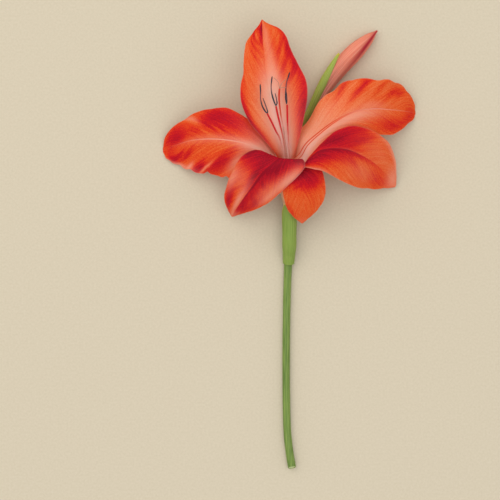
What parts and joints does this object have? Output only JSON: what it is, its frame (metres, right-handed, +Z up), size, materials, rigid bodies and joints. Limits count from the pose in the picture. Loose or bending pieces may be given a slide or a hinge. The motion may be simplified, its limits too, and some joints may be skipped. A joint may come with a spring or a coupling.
{
  "type": "cut gladiolus",
  "caption": "Cut gladiolus lying on its stem: an open orange-red bloom facing up, with stamens and style, and a pink bud in green bracts beside it",
  "frame": {"origin": "middle of the bounding box on the surface the flower lies on", "axes": "+Z up, out of the bloom; +Y along the stem from its cut end to the bud; +X to the side of the bud"},
  "size_m": [0.143, 0.2524, 0.0404],
  "materials": {
    "stem": "satin",
    "bract": "satin",
    "tube": "satin",
    "tepal": "satin",
    "filament": "satin",
    "anther": "matte",
    "style": "satin",
    "bud": "satin"
  },
  "bodies": {
    "root": {"stem": "stem", "ovary": "stem", "bud_ovary": "stem", "bloom_outer_bract": "bract", "bloom_inner_bract": "bract", "bud_outer_bract": "bract", "bud_inner_bract": "bract", "perianth_tube": "tube", "tepal_top": "tepal", "tepal_upper_left": "tepal", "tepal_upper_right": "tepal", "tepal_lower_left": "tepal", "tepal_lower_middle": "tepal", "tepal_lower_right": "tepal", "filament_left": "filament", "filament_middle": "filament", "filament_right": "filament", "anther_left": "anther", "anther_middle": "anther", "anther_right": "anther", "style": "style", "bud": "bud"}
  },
  "joints": []
}
